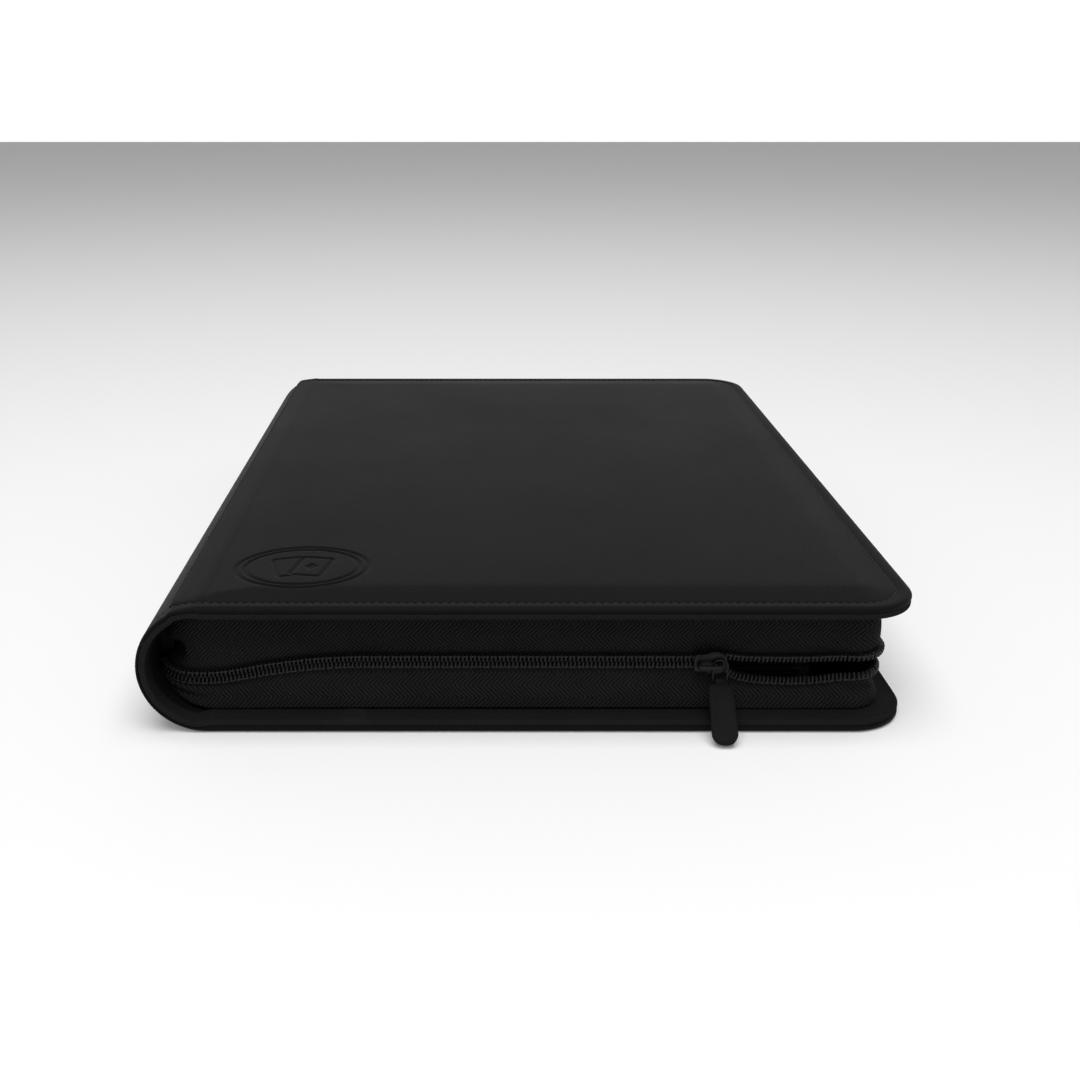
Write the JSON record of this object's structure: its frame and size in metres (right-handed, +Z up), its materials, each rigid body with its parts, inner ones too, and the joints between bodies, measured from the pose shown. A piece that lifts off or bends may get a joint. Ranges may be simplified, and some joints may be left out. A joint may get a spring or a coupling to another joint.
{
  "type": "trading card binder",
  "caption": "Zip-around trading card binder with padded covers, rounded spine, fabric gusset and side-loading pocket leaves.",
  "frame": {"origin": "middle of the back cover's flat underside, halfway along the binder and halfway between the rounded spine and the fore edge", "axes": "+X from the spine to the fore edge, +Y along the spine away from the edge that carries the zip slider, +Z up through the covers"},
  "size_m": [0.28, 0.3622, 0.0503],
  "materials": {
    "cover_fabric": "fine woven grain, matt, coated",
    "foam": "soft foam sheet",
    "board": "grey pressed board",
    "lining": "smooth black lining",
    "ribbed_tape": "ribbed woven tape",
    "zip_tape": "herringbone woven tape",
    "zip_coil": "moulded nylon coil",
    "black_metal": "black enamel on cast zinc",
    "tab_rubber": "matt moulded rubber",
    "leaf_film": "black backing with clear film pockets"
  },
  "bodies": {
    "back_cover": {"back_skin": "cover_fabric", "back_foam": "foam", "back_board": "board", "back_edge_band": "ribbed_tape", "back_lining": "lining", "lower_gusset": "zip_tape", "lower_gusset_near_end": "zip_tape", "lower_gusset_far_end": "zip_tape", "lower_zip_coil": "zip_coil", "zip_start_stop": "black_metal", "lower_zip_end_stop": "black_metal", "leaf_01": "leaf_film", "leaf_02": "leaf_film", "leaf_03": "leaf_film", "leaf_04": "leaf_film", "leaf_05": "leaf_film", "leaf_06": "leaf_film", "leaf_07": "leaf_film", "leaf_08": "leaf_film"},
    "lower_fold": {"lower_fold_skin": "cover_fabric", "lower_fold_foam": "foam", "lower_fold_lining": "lining"},
    "spine": {"spine_skin": "cover_fabric", "spine_board": "board", "spine_lining": "lining", "page_binding": "ribbed_tape"},
    "upper_fold": {"upper_fold_skin": "cover_fabric", "upper_fold_foam": "foam", "upper_fold_lining": "lining"},
    "front_cover": {"front_skin": "cover_fabric", "front_foam": "foam", "front_board": "board", "front_edge_band": "ribbed_tape", "front_lining": "lining", "upper_gusset": "zip_tape", "upper_gusset_near_end": "zip_tape", "upper_gusset_far_end": "zip_tape", "upper_zip_coil": "zip_coil", "upper_zip_end_stop": "black_metal", "leaf_13": "leaf_film", "leaf_14": "leaf_film", "leaf_15": "leaf_film", "leaf_16": "leaf_film", "leaf_17": "leaf_film", "leaf_18": "leaf_film", "leaf_19": "leaf_film", "leaf_20": "leaf_film"},
    "turning_leaf_09": {"leaf_09": "leaf_film"},
    "turning_leaf_10": {"leaf_10": "leaf_film"},
    "turning_leaf_11": {"leaf_11": "leaf_film"},
    "turning_leaf_12": {"leaf_12": "leaf_film"},
    "slider": {"slider_body": "black_metal", "slider_bail": "black_metal"},
    "loop": {"pull_loop": "black_metal"},
    "tab": {"pull_tab": "tab_rubber"}
  },
  "joints": [
    {"name": "back_cover_fold", "type": "hinge", "parent": "back_cover", "child": "lower_fold", "pos_m": [-0.1155, 0, 0], "axis": [0, -1, 0], "range_deg": [0, 30]},
    {"name": "cover_opening", "type": "hinge", "parent": "lower_fold", "child": "spine", "pos_m": [-0.13672, 0, 0.01225], "axis": [0, -1, 0], "range_deg": [0, 60]},
    {"name": "upper_spine_fold", "type": "hinge", "parent": "spine", "child": "upper_fold", "pos_m": [-0.13672, 0, 0.03675], "axis": [0, -1, 0], "range_deg": [0, 60]},
    {"name": "front_cover_fold", "type": "hinge", "parent": "upper_fold", "child": "front_cover", "pos_m": [-0.1155, 0, 0.049], "axis": [0, -1, 0], "range_deg": [0, 30]},
    {"name": "leaf_09_turn", "type": "hinge", "parent": "spine", "child": "turning_leaf_09", "pos_m": [-0.1297, 0, 0.02175], "axis": [0, -1, 0], "range_deg": [-54, 0]},
    {"name": "leaf_10_turn", "type": "hinge", "parent": "spine", "child": "turning_leaf_10", "pos_m": [-0.1297, 0, 0.02382], "axis": [0, -1, 0], "range_deg": [-21, 0]},
    {"name": "leaf_11_turn", "type": "hinge", "parent": "spine", "child": "turning_leaf_11", "pos_m": [-0.1297, 0, 0.02588], "axis": [0, -1, 0], "range_deg": [0, 21]},
    {"name": "leaf_12_turn", "type": "hinge", "parent": "spine", "child": "turning_leaf_12", "pos_m": [-0.1297, 0, 0.02795], "axis": [0, -1, 0], "range_deg": [0, 54]},
    {"name": "slider_travel", "type": "slide", "parent": "back_cover", "child": "slider", "axis": [1, 0, 0], "range_m": [-0.135, 0.041], "deforming": ["lower_zip_coil", "upper_zip_coil"]},
    {"name": "loop_swing", "type": "hinge", "parent": "slider", "child": "loop", "pos_m": [0.07035, -0.1677, 0.0235], "axis": [0, -1, 0], "range_deg": [-35, 90]},
    {"name": "tab_swing", "type": "hinge", "parent": "loop", "child": "tab", "pos_m": [0.07035, -0.1677, 0.0171], "axis": [-1, 0, 0], "range_deg": [-14, 62]}
  ],
  "couplings": [
    {"joint": "back_cover_fold", "follows": "cover_opening", "ratio": 0.5},
    {"joint": "upper_spine_fold", "follows": "cover_opening", "ratio": 1},
    {"joint": "front_cover_fold", "follows": "cover_opening", "ratio": 0.5},
    {"joint": "leaf_09_turn", "follows": "cover_opening", "ratio": -0.9},
    {"joint": "leaf_10_turn", "follows": "cover_opening", "ratio": -0.35},
    {"joint": "leaf_11_turn", "follows": "cover_opening", "ratio": 0.35},
    {"joint": "leaf_12_turn", "follows": "cover_opening", "ratio": 0.9}
  ]
}
